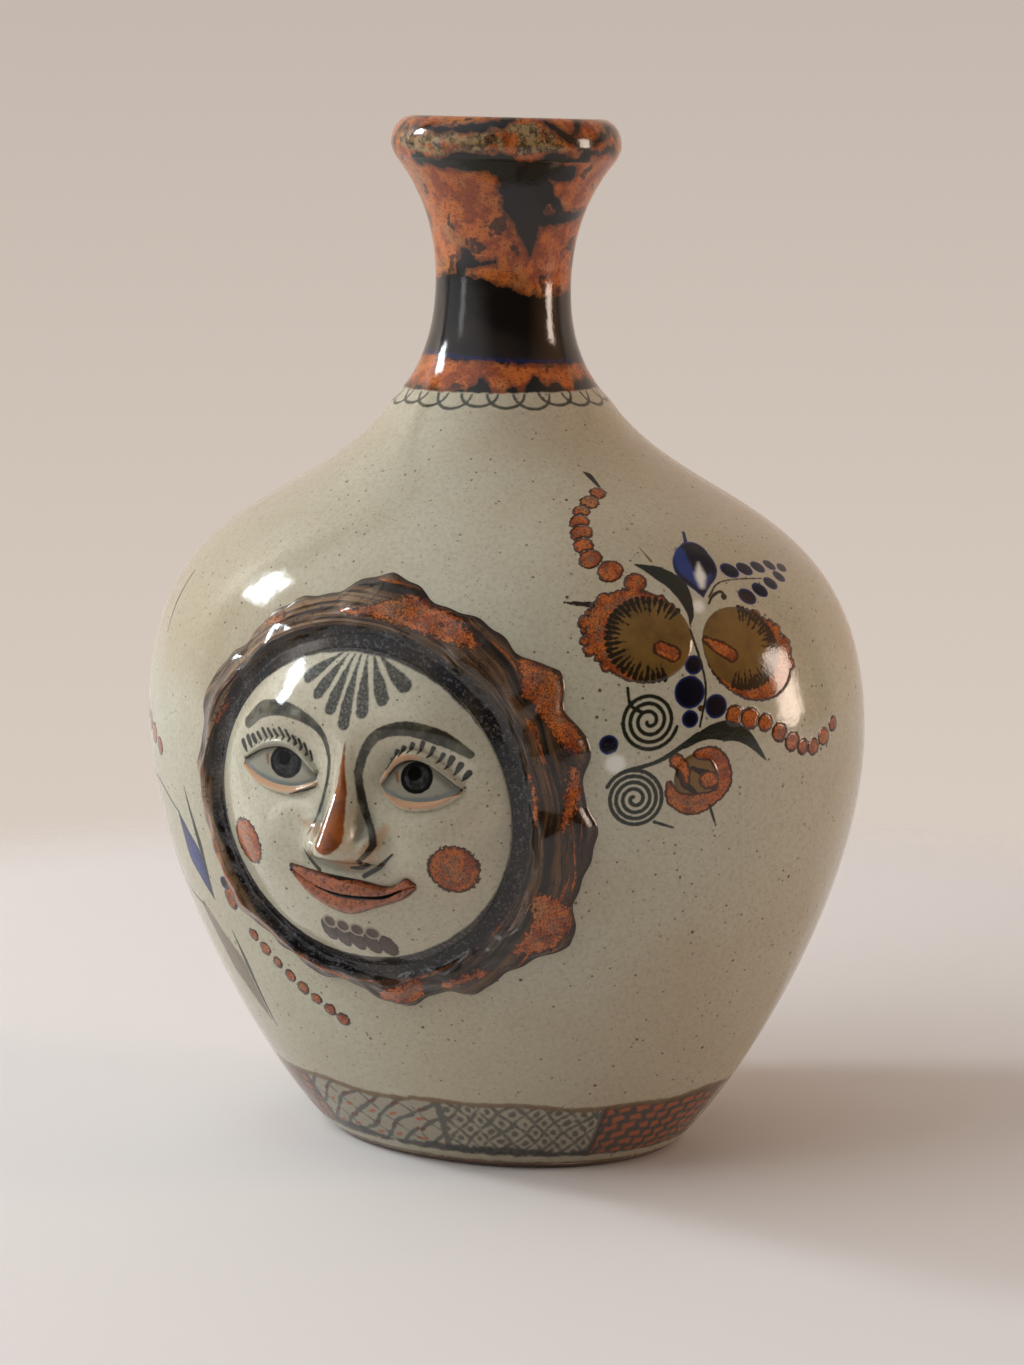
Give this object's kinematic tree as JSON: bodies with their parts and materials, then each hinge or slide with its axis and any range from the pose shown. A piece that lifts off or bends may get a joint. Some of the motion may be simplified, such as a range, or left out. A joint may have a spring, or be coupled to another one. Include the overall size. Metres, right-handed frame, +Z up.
{
  "type": "face vase",
  "caption": "Oval glazed stoneware flask vase with a sun face in relief on its broad front, a waisted open neck with a rolled rim, and a flat oval foot.",
  "frame": {"origin": "on the neck's axis, on the flat underside of the foot", "axes": "+Z up along the neck's axis, the sun face looks along -Y, +X to the viewer's right"},
  "size_m": [0.1974, 0.1776, 0.27],
  "materials": {
    "foot_clay": "glazed side with painted band, bare brown clay at the very foot",
    "body_glaze": "glossy grey-green glaze with fine iron specks",
    "neck_glaze": "glossy, mottled iron red, orange and black",
    "ray_glaze": "glossy, dark brown with orange-red patches",
    "face_glaze": "glossy pale grey-green glaze with painted features",
    "eye_glaze": "glossy, painted dark iris",
    "lip_glaze": "glossy iron red"
  },
  "bodies": {
    "root": {"base_slab": "foot_clay", "front_shell": "body_glaze", "back_shell": "body_glaze", "neck": "neck_glaze", "rim_roll": "neck_glaze", "sun_ray_ring": "ray_glaze", "face_disc": "face_glaze", "nose": "face_glaze", "left_eyeball": "eye_glaze", "right_eyeball": "eye_glaze", "left_upper_eyelid": "face_glaze", "left_lower_eyelid": "face_glaze", "right_upper_eyelid": "face_glaze", "right_lower_eyelid": "face_glaze", "upper_lip": "lip_glaze", "lower_lip": "lip_glaze"}
  },
  "joints": []
}
